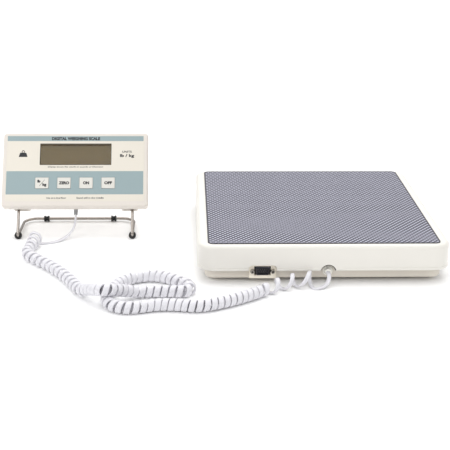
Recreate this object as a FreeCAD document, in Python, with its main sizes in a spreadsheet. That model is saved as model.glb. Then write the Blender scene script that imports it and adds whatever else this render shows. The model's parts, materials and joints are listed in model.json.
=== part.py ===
import FreeCAD, Part
import math
import os
import re
import Sketcher
from FreeCAD import Placement, Rotation, Vector

# Floor-standing weighing scale with a remote display head on a bent-wire stand.
# Millimetres, +Z up, +X to the right as the user reads the display, -Y towards the user.
# Origin: on the floor, midway between the left edge of the head and the right edge of the platform.

DIMENSIONS = [
    # alias, value, meaning
    ("platform_w", 311, "platform cover, left to right"),
    ("platform_d", 318, "platform cover, front to back"),
    ("cover_top", 50.2, "height of the cover's top face"),
    ("cover_bottom", 18, "height of the cover's lower edge"),
    ("cover_wall", 2.8, "cover wall"),
    ("cover_ceiling", 3.4, "cover top thickness"),
    ("cover_corner", 21, "cover corner radius in plan"),
    ("cover_edge", 5, "cover top edge radius"),
    ("lip_height", 3, "band at the foot of the cover skirt"),
    ("lip_proud", 0.5, "how far that band stands out"),
    ("mat_side", 12.3, "margin beside the mat"),
    ("mat_end", 7.2, "margin in front of and behind the mat"),
    ("mat_corner", 7, "mat corner radius"),
    ("mat_thick", 1.8, "mat thickness"),
    ("mat_proud", 0.8, "mat height above the cover"),
    ("tray_inset", 8.7, "base tray inside the cover outline"),
    ("tray_bottom", 5, "underside of the base tray"),
    ("tray_top", 26, "rim of the base tray"),
    ("tray_wall", 2.6, "tray wall"),
    ("tray_floor", 2.6, "tray floor thickness"),
    ("tray_corner", 13, "tray corner radius"),
    ("tray_edge", 1.6, "tray lower edge radius"),
    ("foot_dia", 19, "rubber foot"),
    ("foot_seat", 1.2, "how far a foot is let into the tray"),
    ("foot_x", 118, "feet and load cells from the platform's centre"),
    ("foot_y", 121, "feet and load cells from the platform's centre"),
    ("cell_size", 34, "load cell"),
    ("cell_thick", 8.4, "load cell"),
    ("travel", 0.8, "platform travel at full load"),
    ("post_dia", 20, "load post"),
    ("plate_thick", 2, "support plate"),
    ("port_x", -76.2, "serial port from the platform's centre"),
    ("port_z", 16.2, "serial port height"),
    ("bezel_w", 33, "serial port bezel"),
    ("bezel_corner", 4.2, "bezel upper corner radius"),
    ("bezel_low", 6.4, "bezel lower edge"),
    ("bezel_high", 23.4, "bezel upper edge"),
    ("bezel_front", 4.6, "bezel face in front of the tray wall"),
    ("screw_pitch", 24.99, "jack screws, centre to centre"),
    ("outlet_x", 4.4, "cord outlet from the platform's centre"),
    ("outlet_z", 14.6, "cord outlet height"),
    ("outlet_r", 6, "cord bushing radius"),
    ("notch_r", 10, "arched notch over the bushing"),
    ("head_w", 198.2, "display head width"),
    ("head_l", 106.4, "display head, bottom to top edge"),
    ("head_corner", 5, "head corner radius"),
    ("head_y", 5.3, "head lower front edge"),
    ("head_z", 44.8, "head lower front edge"),
    ("head_lean", 33.95, "head leans back, degrees"),
    ("front_deep", 12, "front shell depth"),
    ("head_deep", 40, "whole head depth"),
    ("head_wall", 2.4, "shell wall"),
    ("front_edge", 3, "front shell edge radius"),
    ("back_w", 172, "flat back, width"),
    ("back_l", 82, "flat back, height"),
    ("overlay_w", 188, "printed overlay"),
    ("overlay_low", 8.4, "overlay lower edge"),
    ("overlay_high", 102, "overlay upper edge"),
    ("overlay_thick", 0.6, "overlay sheet"),
    ("window_w", 96.6, "display window"),
    ("window_low", 60.2, "window lower edge"),
    ("window_high", 90, "window upper edge"),
    ("key_w", 18, "key cap"),
    ("key_l", 15.2, "key cap"),
    ("key_pitch", 29.95, "key spacing"),
    ("key_y", 34, "key row height on the face"),
    ("key_proud", 0.7, "key cap above the overlay"),
    ("key_gap", 0.3, "clearance round a key"),
    ("key_travel", 0.5, "key travel"),
    ("board_w", 136, "display circuit board"),
    ("cell_dia", 14.2, "battery diameter"),
    ("cell_len", 50, "battery length"),
    ("tub_w", 108, "battery tub, outside"),
    ("tub_l", 51, "battery tub, outside"),
    ("tub_deep", 16.6, "battery tub depth below the door"),
    ("door_thick", 2, "battery door"),
    ("door_gap", 0.35, "clearance round the door"),
    ("wire_dia", 4, "stand wire"),
    ("stand_half", 77.5, "stand legs from the middle"),
    ("stand_back", 74, "rear bar of the stand"),
    ("stand_front", -1.5, "front corners of the stand"),
    ("ring_dia", 9.9, "ring feet of the stand"),
    ("ring_len", 4.4, "ring foot, front to back"),
    ("grommet_dia", 8.5, "bar grommets"),
    ("grommet_half", 47.6, "bar grommets from the middle"),
    ("flare_len", 2.4, "bar grommet, waist to rim"),
    ("flare_rim", 1.2, "bar grommet rim width"),
    ("pivot_y", 4.5, "tilt pivot on the head"),
    ("pivot_deep", 17, "tilt pivot behind the face"),
    ("clip_dia", 7.6, "tilt pivot clip"),
    ("gland_deep", 19, "cord gland behind the face"),
    ("gland_nose", 6, "cord gland below the head"),
    ("gap", 66.4, "head to platform"),
    ("coil_dia", 15, "outside of the curly cord"),
    ("lead_dia", 6, "straight ends of the cord"),
    ("lead_gap", 0.05, "from the gland to where the lead is seen"),
    ("lead_drop", 9, "straight run of the lead below the gland"),
]

doc = FreeCAD.newDocument("remote_display_scale")
sheet = doc.addObject("Spreadsheet::Sheet", "Sizes")
for row, (alias, number, meaning) in enumerate(DIMENSIONS, start=1):
    sheet.set("A%d" % row, alias)
    sheet.set("B%d" % row, str(number))
    sheet.setAlias("B%d" % row, alias)
    sheet.set("C%d" % row, meaning)
doc.recompute()

NAMES = {alias for alias, number, meaning in DIMENSIONS}
PARTS = []
WORKED_OUT = {}


def size(alias):
    return float(sheet.get(alias))


def value(text):
    """Work out a formula of sheet aliases in a spare cell."""
    if text not in WORKED_OUT:
        sheet.set("E1", "=" + text)
        sheet.recompute()
        WORKED_OUT[text] = float(sheet.get("E1"))
        sheet.clear("E1")
    return WORKED_OUT[text]


def formula(text):
    """Write sheet aliases in full, as an expression needs them."""
    return re.sub(r"[a-z_]+", lambda m: "Sizes." + m.group(0) if m.group(0) in NAMES else m.group(0), text)


def bind(item, **properties):
    for name, text in properties.items():
        item.setExpression(name, formula(text))
    return item


def keep(item, label, where=None):
    """Name a finished sub-part and put it in its place."""
    item.Label = label
    if where is not None:
        item.Placement = where
    PARTS.append(item)
    return item


# ---------------------------------------------------------------- frames

HALF_SPAN = (size("head_w") + size("gap") + size("platform_w") + size("lip_proud")) / 2
PLATFORM_X = HALF_SPAN - size("lip_proud") - size("platform_w") / 2
HEAD_X = -HALF_SPAN + size("head_w") / 2
PLATFORM = Placement(Vector(PLATFORM_X, 0, 0), Rotation())
STAND = Placement(Vector(HEAD_X, 0, 0), Rotation())
# On the head: X to the right, Y up the face, Z out of the face.
HEAD = Placement(Vector(HEAD_X, size("head_y"), size("head_z")),
                 Rotation(Vector(1, 0, 0), 90 - size("head_lean")))


# ---------------------------------------------------------------- sketching

def new_body(name):
    return doc.addObject("PartDesign::Body", name)


def plane_of(body, role):
    return [f for f in body.Origin.OriginFeatures if f.Role == role][0]


def sketch_on(body, height="0", role="XY_Plane"):
    sketch = body.newObject("Sketcher::SketchObject", body.Name + "_sketch")
    sketch.AttachmentSupport = [(plane_of(body, role), "")]
    sketch.MapMode = "FlatFace"
    sketch.setExpression(".AttachmentOffset.Base.z", formula(height))
    return sketch


def fix(sketch, kind, first, first_end, second, second_end, text):
    """A dimension between two points, driven by the sheet."""
    number = value(text)
    index = sketch.addConstraint(Sketcher.Constraint(kind, first, first_end, second, second_end, number))
    sketch.setExpression("Constraints[%d]" % index, formula(text))


def rounded_rectangle(sketch, left, right, low, high, radius):
    """A rectangle with four equal round corners; its sides are sheet formulas."""
    base = sketch.GeometryCount
    x0, x1, y0, y1, r = [value(text) for text in (left, right, low, high, radius)]
    up = Vector(0, 0, 1)
    sketch.addGeometry([
        Part.LineSegment(Vector(x0 + r, y0, 0), Vector(x1 - r, y0, 0)),
        Part.ArcOfCircle(Part.Circle(Vector(x1 - r, y0 + r, 0), up, r), 1.5 * math.pi, 2 * math.pi),
        Part.LineSegment(Vector(x1, y0 + r, 0), Vector(x1, y1 - r, 0)),
        Part.ArcOfCircle(Part.Circle(Vector(x1 - r, y1 - r, 0), up, r), 0, 0.5 * math.pi),
        Part.LineSegment(Vector(x1 - r, y1, 0), Vector(x0 + r, y1, 0)),
        Part.ArcOfCircle(Part.Circle(Vector(x0 + r, y1 - r, 0), up, r), 0.5 * math.pi, math.pi),
        Part.LineSegment(Vector(x0, y1 - r, 0), Vector(x0, y0 + r, 0)),
        Part.ArcOfCircle(Part.Circle(Vector(x0 + r, y0 + r, 0), up, r), math.pi, 1.5 * math.pi),
    ], False)
    for side in range(8):
        sketch.addConstraint(
            Sketcher.Constraint("Tangent", base + side, 2, base + (side + 1) % 8, 1))
    for corner in (3, 5, 7):
        sketch.addConstraint(Sketcher.Constraint("Equal", base + 1, base + corner))
    sketch.addConstraint(Sketcher.Constraint("Horizontal", base))
    sketch.addConstraint(Sketcher.Constraint("Vertical", base + 2))
    sketch.addConstraint(Sketcher.Constraint("Horizontal", base + 4))
    sketch.addConstraint(Sketcher.Constraint("Vertical", base + 6))
    index = sketch.addConstraint(Sketcher.Constraint("Radius", base + 1, r))
    sketch.setExpression("Constraints[%d]" % index, formula(radius))
    fix(sketch, "DistanceX", -1, 1, base + 6, 1, left)
    fix(sketch, "DistanceX", -1, 1, base + 2, 1, right)
    fix(sketch, "DistanceY", -1, 1, base, 1, low)
    fix(sketch, "DistanceY", -1, 1, base + 4, 1, high)


def centred_rectangle(sketch, width, depth, radius):
    rounded_rectangle(sketch, "-(%s)/2" % width, "(%s)/2" % width,
                      "-(%s)/2" % depth, "(%s)/2" % depth, radius)


def circle(sketch, x, y, radius):
    start = Part.Circle(Vector(value(x), value(y), 0), Vector(0, 0, 1), value(radius))
    index = sketch.addGeometry(start, False)
    fix(sketch, "DistanceX", -1, 1, index, 3, x)
    fix(sketch, "DistanceY", -1, 1, index, 3, y)
    number = sketch.addConstraint(Sketcher.Constraint("Radius", index, value(radius)))
    sketch.setExpression("Constraints[%d]" % number, formula(radius))


def pad(body, sketch, length):
    feature = body.newObject("PartDesign::Pad", body.Name + "_pad")
    feature.Profile = sketch
    return bind(feature, Length=length)


def pocket(body, sketch, length, upward=False):
    feature = body.newObject("PartDesign::Pocket", body.Name + "_pocket")
    feature.Profile = sketch
    feature.Reversed = upward
    return bind(feature, Length=length)


def round_edges(body, height, radius, kind="PartDesign::Fillet", outermost=True):
    """Round the edges that lie at one height; with outermost, only the longest loop's."""
    doc.recompute()
    base = body.Tip
    names = []
    for number, edge in enumerate(base.Shape.Edges, start=1):
        if all(abs(v.Point.z - height) < 1e-4 for v in edge.Vertexes):
            box = edge.BoundBox
            if box.ZLength < 1e-4:
                names.append((number, edge))
    if outermost:
        whole = base.Shape.BoundBox
        limit = max(whole.XLength, whole.YLength) * 0.2
        names = [(n, e) for n, e in names if min(
            abs(e.BoundBox.XMin - whole.XMin), abs(e.BoundBox.XMax - whole.XMax),
            abs(e.BoundBox.YMin - whole.YMin), abs(e.BoundBox.YMax - whole.YMax)) < limit]
    feature = body.newObject(kind, body.Name + "_round")
    feature.Base = (base, ["Edge%d" % n for n, e in names])
    return bind(feature, Radius=radius)


# ---------------------------------------------------------------- plain solids

def box(x, y, z, length, width, height):
    item = doc.addObject("Part::Box", "block")
    bind(item, Length=length, Width=width, Height=height)
    item.setExpression("Placement.Base.x", formula(x))
    item.setExpression("Placement.Base.y", formula(y))
    item.setExpression("Placement.Base.z", formula(z))
    return item


def upright(kind, name, x, y, z, height, axis):
    """A primitive that stands on a point and rises along an axis."""
    item = doc.addObject(kind, name)
    bind(item, Height=height)
    turn = {"x": Rotation(Vector(0, 1, 0), 90), "-x": Rotation(Vector(0, 1, 0), -90),
            "y": Rotation(Vector(1, 0, 0), -90), "-y": Rotation(Vector(1, 0, 0), 90), "z": Rotation()}
    item.Placement = Placement(Vector(), turn[axis])
    item.setExpression("Placement.Base.x", formula(x))
    item.setExpression("Placement.Base.y", formula(y))
    item.setExpression("Placement.Base.z", formula(z))
    return item


def cylinder(x, y, z, radius, height, axis="z"):
    return bind(upright("Part::Cylinder", "round", x, y, z, height, axis), Radius=radius)


def cone(x, y, z, radius, tip_radius, height, axis="z"):
    return bind(upright("Part::Cone", "taper", x, y, z, height, axis), Radius1=radius, Radius2=tip_radius)


def cut(base, *tools):
    result = doc.addObject("Part::Cut", "cut")
    result.Base = base
    result.Tool = tools[0] if len(tools) == 1 else join(*tools)
    return result


def join(*items):
    result = doc.addObject("Part::MultiFuse", "joined")
    result.Shapes = list(items)
    return result


def group(*items):
    """Several like pieces in one node, still separate solids."""
    result = doc.addObject("Part::Compound", "group")
    result.Links = list(items)
    return result


# ---------------------------------------------------------------- platform top

def platform_cover():
    body = new_body("platform_cover")
    skirt = sketch_on(body, "cover_bottom")
    centred_rectangle(skirt, "platform_w", "platform_d", "cover_corner")
    pad(body, skirt, "cover_top - cover_bottom")
    round_edges(body, size("cover_top"), "cover_edge")
    recess = sketch_on(body, "cover_top")
    centred_rectangle(recess, "(platform_w - 2*mat_side + 0.2)", "(platform_d - 2*mat_end + 0.2)",
                      "mat_corner + 0.1")
    pocket(body, recess, "mat_thick - mat_proud")
    hollow = sketch_on(body, "cover_top - cover_ceiling")
    centred_rectangle(hollow, "(platform_w - 2*cover_wall)", "(platform_d - 2*cover_wall)",
                      "cover_corner - cover_wall")
    pocket(body, hollow, "cover_top - cover_ceiling - cover_bottom + 1")
    lip = sketch_on(body, "cover_bottom")
    centred_rectangle(lip, "(platform_w + 2*lip_proud)", "(platform_d + 2*lip_proud)",
                      "cover_corner + lip_proud")
    centred_rectangle(lip, "(platform_w - 2)", "(platform_d - 2)", "cover_corner - 1")
    pad(body, lip, "lip_height")
    notches = sketch_on(body, "platform_d/2 + 3", "XZ_Plane")
    rounded_rectangle(notches, "port_x - bezel_w/2 - 0.8", "port_x + bezel_w/2 + 0.8",
                      "bezel_low - 4", "bezel_high + travel + 0.6", "bezel_corner + 0.8")
    circle(notches, "outlet_x", "outlet_z + travel", "notch_r")
    pocket(body, notches, "cover_wall + 5")
    return keep(body, "platform_cover", PLATFORM)


def platform_mat():
    body = new_body("platform_mat")
    outline = sketch_on(body, "cover_top + mat_proud - mat_thick")
    centred_rectangle(outline, "(platform_w - 2*mat_side)", "(platform_d - 2*mat_end)", "mat_corner")
    pad(body, outline, "mat_thick")
    round_edges(body, size("cover_top") + size("mat_proud"), "0.4")
    return keep(body, "platform_mat", PLATFORM)


def support_plate():
    body = new_body("support_plate")
    outline = sketch_on(body, "cover_top - cover_ceiling - plate_thick")
    centred_rectangle(outline, "(platform_w - 24)", "(platform_d - 24)", "8")
    for x in (-60, 0, 60):
        for y in (-70, 0, 70):
            circle(outline, str(x), str(y), "14")
    pad(body, outline, "plate_thick")
    return keep(body, "support_plate", PLATFORM)


def corners():
    return [("front_left", -1, -1), ("front_right", 1, -1), ("rear_left", -1, 1), ("rear_right", 1, 1)]


def load_posts():
    bottom = "tray_bottom + tray_floor + cell_thick + travel + 0.2"
    height = "cover_top - cover_ceiling - plate_thick - (%s)" % bottom
    posts = [cylinder("%d*foot_x" % x, "%d*foot_y" % y, bottom, "post_dia/2", height)
             for name, x, y in corners()]
    return keep(group(*posts), "load_posts", PLATFORM)


# ---------------------------------------------------------------- base

def base_tray():
    body = new_body("base_tray")
    outline = sketch_on(body, "tray_bottom")
    centred_rectangle(outline, "(platform_w - 2*tray_inset)", "(platform_d - 2*tray_inset)", "tray_corner")
    pad(body, outline, "tray_top - tray_bottom")
    round_edges(body, size("tray_bottom"), "tray_edge")
    hollow = sketch_on(body, "tray_top")
    centred_rectangle(hollow, "(platform_w - 2*tray_inset - 2*tray_wall)",
                      "(platform_d - 2*tray_inset - 2*tray_wall)", "tray_corner - tray_wall")
    pocket(body, hollow, "tray_top - tray_bottom - tray_floor")
    openings = sketch_on(body, "platform_d/2 - tray_inset + 1", "XZ_Plane")
    rounded_rectangle(openings, "port_x - 15.9", "port_x + 15.9", "port_z - 6.6", "port_z + 6.6", "1")
    circle(openings, "outlet_x", "outlet_z", "outlet_r - 1.5")
    pocket(body, openings, "tray_wall + 2")
    seats = sketch_on(body, "tray_bottom")
    for name, x, y in corners():
        circle(seats, "%d*foot_x" % x, "%d*foot_y" % y, "foot_dia/2 + 0.1")
    pocket(body, seats, "foot_seat", upward=True)
    return keep(body, "base_tray", PLATFORM)


def base_feet():
    for name, x, y in corners():
        body = new_body("base_foot_" + name)
        disc = sketch_on(body)
        circle(disc, "0", "0", "foot_dia/2")
        pad(body, disc, "tray_bottom + foot_seat")
        round_edges(body, 0, "1", outermost=False)
        where = Placement(Vector(PLATFORM_X + x * size("foot_x"), y * size("foot_y"), 0), Rotation())
        keep(body, "base_foot_" + name, where)


def load_cells():
    for name, x, y in corners():
        body = new_body("load_cell_" + name)
        outline = sketch_on(body)
        centred_rectangle(outline, "cell_size", "cell_size", "2.5")
        for sx in (-1, 1):
            circle(outline, "%d*(cell_size/2 - 4.5)" % sx, "cell_size/2 - 4.5", "1.7")
        pad(body, outline, "cell_thick")
        slot = sketch_on(body, "cell_thick")
        rounded_rectangle(slot, "-cell_size/2 + 6", "cell_size/2 - 6", "5", "7.4", "0.5")
        pocket(body, slot, "cell_thick")
        beam = sketch_on(body)
        rounded_rectangle(beam, "-cell_size/2 + 5", "cell_size/2 - 5", "-cell_size/2 + 5", "4.4", "1")
        pocket(body, beam, "2.5", upward=True)
        where = Placement(Vector(PLATFORM_X + x * size("foot_x"), y * size("foot_y"),
                                 size("tray_bottom") + size("tray_floor")), Rotation())
        keep(body, "load_cell_" + name, where)


def screw(x, y, z, shank_r="1.4", shank="5", head_r="2.8", head="1.8", axis="z", sign=1):
    """A pan-head screw: shank first along the axis, then its head."""
    step = {"x": (1, 0, 0), "y": (0, 1, 0), "z": (0, 0, 1)}[axis]
    after = ["(%s) + %d*%s" % (place, part, shank) for place, part in zip((x, y, z), step)]
    return join(cylinder(x, y, z, shank_r, shank, axis), cylinder(*after, head_r, head, axis))


def cell_screws():
    screws = []
    for name, x, y in corners():
        for side in (-1, 1):
            screws.append(screw("%d*foot_x + %d*(cell_size/2 - 4.5)" % (x, side),
                                "%d*foot_y + cell_size/2 - 4.5" % y,
                                "tray_bottom + tray_floor + 0.4", shank="(cell_thick - 0.4)"))
    return keep(group(*screws), "cell_screws", PLATFORM)


def serial_port():
    """Bezel, nine-way connector and its two hexagonal jack screws."""
    face = "-platform_d/2 + tray_inset - bezel_front"
    plate = box("port_x - bezel_w/2", face, "bezel_low", "bezel_w", "bezel_front",
                "bezel_high - bezel_low")
    edges = doc.addObject("Part::Fillet", "bezel_round")
    edges.Base = plate
    doc.recompute()
    edges.Edges = [(n, size("bezel_corner"), size("bezel_corner")) for n, e in enumerate(plate.Shape.Edges, start=1)
                   if e.BoundBox.YLength > 1 and e.Vertexes[0].Point.z > size("port_z")]
    opening = box("port_x - 10.2", face + " - 1", "port_z - 6", "20.4", "bezel_front + 2", "12")
    holes = [cylinder("port_x + %d*screw_pitch/2" % s, face + " - 1", "port_z", "2.1",
                      "bezel_front + 2", "y") for s in (-1, 1)]
    keep(cut(edges, opening, *holes), "serial_bezel", PLATFORM)

    shell_y = face + " - 0.6"
    outer = d_shape("connector_shell", 18.6, 11.0, shell_y, "bezel_front + 4.4")
    inner = d_shape("connector_hollow", 16.6, 8.8, face + " - 1.6", "bezel_front + 8")
    keep(cut(outer, inner), "port_shell", PLATFORM)
    block = d_shape("connector_block", 16.4, 8.6, face + " + 1", "bezel_front + 4")
    pins = [cylinder("port_x + %g" % x, face + " + 0.4", "port_z + %g" % z, "0.55",
                     "bezel_front + 6", "y") for x, z in pin_places()]
    bores = [cylinder("port_x + %g" % x, face + " + 0.4", "port_z + %g" % z, "0.58",
                      "bezel_front + 6", "y") for x, z in pin_places()]
    keep(cut(block, *bores), "port_insulator", PLATFORM)
    keep(group(*pins), "port_pins", PLATFORM)

    flange = box("port_x - 15.6", face + " + bezel_front + 0.1", "port_z - 6.3", "31.2", "1.2", "12.6")
    flange_hole = box("port_x - 9.8", face, "port_z - 5.8", "19.6", "bezel_front + 4", "11.6")
    threads = [cylinder("port_x + %d*screw_pitch/2" % s, face, "port_z", "1.5",
                        "bezel_front + 4", "y") for s in (-1, 1)]
    keep(cut(flange, flange_hole, *threads), "port_flange", PLATFORM)
    posts = [jack_screw(s, face) for s in (-1, 1)]
    keep(group(*posts), "jack_screws", PLATFORM)


def pin_places():
    """Five contacts over four, as on any nine-way D connector."""
    pitch, rise = 2.77, 1.42
    upper = [((i - 2) * pitch, rise) for i in range(5)]
    lower = [((i - 1.5) * pitch, -rise) for i in range(4)]
    return upper + lower


def d_shape(name, width, height, y, depth):
    """A keystone outline, wider above, run along Y from y for depth."""
    body = doc.addObject("Part::Feature", name)
    slope = 0.18 * height / 2
    x, z = width / 2, height / 2
    outline = [(-x, z), (x, z), (x - 2 * slope, -z), (-x + 2 * slope, -z)]
    points = [Vector(across, 0, up) for across, up in outline]
    wire = Part.makePolygon(points + points[:1])
    solid = Part.Face(wire).extrude(Vector(0, value(depth), 0))
    long_edges = [e for e in solid.Edges if abs(e.BoundBox.YLength - value(depth)) < 1e-6]
    body.Shape = solid.makeFillet(0.18 * height, long_edges)
    body.Placement = Placement(Vector(size("port_x"), value(y), size("port_z")), Rotation())
    return body


def jack_screw(side, face):
    nut = doc.addObject("Part::Prism", "jack")
    nut.Polygon = 6
    bind(nut, Circumradius="2.75", Height="4.2")
    nut.Placement = Placement(Vector(), Rotation(Vector(1, 0, 0), -90))
    nut.setExpression("Placement.Base.x", formula("port_x + %d*screw_pitch/2" % side))
    nut.setExpression("Placement.Base.y", formula(face + " - 4.2"))
    nut.setExpression("Placement.Base.z", formula("port_z"))
    shank = cylinder("port_x + %d*screw_pitch/2" % side, face, "port_z", "1.45", "bezel_front + 3", "y")
    thread = cylinder("port_x + %d*screw_pitch/2" % side, face + " - 4.3", "port_z", "1.42", "6.5", "y")
    return cut(join(nut, shank), thread)


def cord_bushing():
    """Flanged bushing in the tray wall, rounded in front, that the cord comes out of."""
    wall = "-platform_d/2 + tray_inset"
    flange = cylinder("outlet_x", wall + " - 1.6", "outlet_z", "outlet_r", "1.6", "y")
    nose = cone("outlet_x", wall + " - 1.6", "outlet_z", "outlet_r - 1", "outlet_r - 2.4", "3.6", "-y")
    neck = cylinder("outlet_x", wall, "outlet_z", "outlet_r - 1.6", "tray_wall", "y")
    collar = cylinder("outlet_x", wall + " + tray_wall", "outlet_z", "outlet_r - 0.8", "1.6", "y")
    return keep(join(flange, nose, neck, collar), "cord_bushing", PLATFORM)


def main_board():
    floor = "tray_bottom + tray_floor"
    board = box("-92", "-platform_d/2 + tray_inset + 13", floor + " + 5", "110", "62", "1.6")
    holes = [cylinder(x, y, floor + " + 4", "1.6", "4") for x, y in board_corners()]
    keep(cut(board, *holes), "main_board", PLATFORM)
    spacers = [cut(cylinder(x, y, floor, "3", "5"), cylinder(x, y, floor + " + 1", "1.3", "5"))
               for x, y in board_corners()]
    keep(group(*spacers), "board_spacers", PLATFORM)
    screws = [screw(x, y, floor + " + 2.2", shank_r="1.25", shank="4.4", head_r="2.6", head="1.6")
              for x, y in board_corners()]
    keep(group(*screws), "board_screws", PLATFORM)
    top = floor + " + 6.6"
    near = "-platform_d/2 + tray_inset"
    chips = [box("-50", near + " + 38", top, "14", "10", "2"),
             box("-20", near + " + 40", top, "9", "6", "1.8"),
             box("-76", near + " + 48", top, "18", "6", "5"),
             cylinder("4", near + " + 44", top, "4", "9"),
             box("-8", near + " + 60", top, "16", "6", "5")]
    keep(group(*chips), "board_parts", PLATFORM)


def board_corners():
    near = "-platform_d/2 + tray_inset"
    return [(x, near + " + " + y) for x in ("-88", "14") for y in ("17", "71")]


def cell_wires():
    """A lead from each load cell to the main board, lying on the tray floor."""
    z = size("tray_bottom") + size("tray_floor") + 1
    back = size("platform_d") / 2
    wires = []
    for name, x, y in corners():
        start = Vector(x * size("foot_x") - x * 18.5, y * (size("foot_y") - 10), z)
        spread = 3 * y + x
        bend = Vector(x * 60 + spread, y * (size("foot_y") - 14), z)
        finish = Vector(-30 + 8 * x + 3 * y, 82 - back, z)
        wires.append(tube([start, bend, Vector(bend.x - 6 * x, finish.y + 6, z), finish], 0.9)[0])
    item = doc.addObject("Part::Feature", "wires")
    item.Shape = Part.makeCompound(wires)
    return keep(item, "cell_wires", PLATFORM)


# ---------------------------------------------------------------- display head

def front_shell():
    body = new_body("front_shell")
    outline = sketch_on(body, "-front_deep")
    rounded_rectangle(outline, "-head_w/2", "head_w/2", "0", "head_l", "head_corner")
    pad(body, outline, "front_deep")
    round_edges(body, 0, "front_edge")
    hollow = sketch_on(body, "-head_wall - 0.6")
    rounded_rectangle(hollow, "-head_w/2 + head_wall", "head_w/2 - head_wall", "head_wall",
                      "head_l - head_wall", "head_corner - head_wall + 0.6")
    pocket(body, hollow, "front_deep")
    recess = sketch_on(body)
    rounded_rectangle(recess, "-overlay_w/2 - 0.1", "overlay_w/2 + 0.1", "overlay_low - 0.1",
                      "overlay_high + 0.1", "1.1")
    pocket(body, recess, "overlay_thick")
    window = sketch_on(body)
    rounded_rectangle(window, "-window_w/2 - 1", "window_w/2 + 1", "window_low - 1", "window_high + 1", "1")
    for place in key_places():
        rounded_rectangle(window, place + " - key_w/2 - key_gap", place + " + key_w/2 + key_gap",
                          "key_y - key_l/2 - key_gap", "key_y + key_l/2 + key_gap", "1.3")
    pocket(body, window, "head_wall + 2")
    posts = sketch_on(body, "-17")
    for x, y in shell_screw_places():
        circle(posts, x, y, "4")
    pad(body, posts, "17 - head_wall - 0.4")
    threads = sketch_on(body, "-17")
    for x, y in shell_screw_places():
        circle(threads, x, y, "1.35")
    pocket(body, threads, "10", upward=True)
    return keep(body, "front_shell", HEAD)


def key_places():
    return ["%g*key_pitch" % step for step in (-1.5, -0.5, 0.5, 1.5)]


def overlay_panel():
    body = new_body("overlay_panel")
    outline = sketch_on(body, "-overlay_thick")
    rounded_rectangle(outline, "-overlay_w/2", "overlay_w/2", "overlay_low", "overlay_high", "1")
    rounded_rectangle(outline, "-window_w/2", "window_w/2", "window_low", "window_high", "0.4")
    for place in key_places():
        rounded_rectangle(outline, place + " - key_w/2 - key_gap", place + " + key_w/2 + key_gap",
                          "key_y - key_l/2 - key_gap", "key_y + key_l/2 + key_gap", "1.3")
    pad(body, outline, "overlay_thick")
    return keep(body, "overlay_panel", HEAD)


def keys():
    for name, place in zip(("key_unit", "key_zero", "key_on", "key_off"), key_places()):
        body = new_body(name)
        cap = sketch_on(body, "-head_wall - 0.8")
        rounded_rectangle(cap, place + " - key_w/2", place + " + key_w/2", "key_y - key_l/2",
                          "key_y + key_l/2", "1")
        pad(body, cap, "head_wall + 0.8 + key_proud")
        round_edges(body, size("key_proud"), "0.35")
        rim = sketch_on(body, "-head_wall - 1.8")
        rounded_rectangle(rim, place + " - key_w/2 - 1.4", place + " + key_w/2 + 1.4",
                          "key_y - key_l/2 - 1.4", "key_y + key_l/2 + 1.4", "1")
        pad(body, rim, "1.1")
        keep(body, name, HEAD)


def window_and_display():
    lens = new_body("window_lens")
    outline = sketch_on(lens, "-overlay_thick - 1.4")
    rounded_rectangle(outline, "-window_w/2 - 0.8", "window_w/2 + 0.8", "window_low - 0.8",
                      "window_high + 0.8", "0.8")
    pad(lens, outline, "1.3")
    keep(lens, "window_lens", HEAD)
    module = box("-window_w/2 - 3", "window_low - 4", "-head_wall - 4.4", "window_w + 6",
                 "window_high - window_low + 8", "3.6")
    view = box("-window_w/2 - 0.5", "window_low - 0.5", "-head_wall - 1.4", "window_w + 1",
               "window_high - window_low + 1", "2")
    keep(cut(module, view), "lcd_module", HEAD)


def display_board():
    deep = "-head_wall - 6.2"
    board = box("-board_w/2", "14", deep, "board_w", "head_l - 24", "1.6")
    holes = [cylinder(x, y, deep + " - 1", "1.7", "4") for x, y in head_board_screws()]
    keep(cut(board, *holes), "display_board", HEAD)
    switches = [join(box(place + " - 3", "key_y - 3", deep + " + 1.6", "6", "6", "1.2"),
                     cylinder(place, "key_y", deep + " + 2.8", "1.5", "0.9"))
                for place in key_places()]
    keep(group(*switches), "key_switches", HEAD)
    pillars = [cut(cylinder(x, y, deep + " + 1.6", "3", "4"),
                   cylinder(x, y, deep, "1.3", "4.2")) for x, y in head_board_screws()]
    keep(group(*pillars), "board_pillars", HEAD)
    heads = [join(cylinder(x, y, deep + " - 1.6", "2.7", "1.6"), cylinder(x, y, deep, "1.25", "3.6"))
             for x, y in head_board_screws()]
    keep(group(*heads), "display_board_screws", HEAD)


def head_board_screws():
    return [(x, y) for x in ("-board_w/2 + 5", "board_w/2 - 5") for y in ("18", "head_l - 14")]


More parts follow.
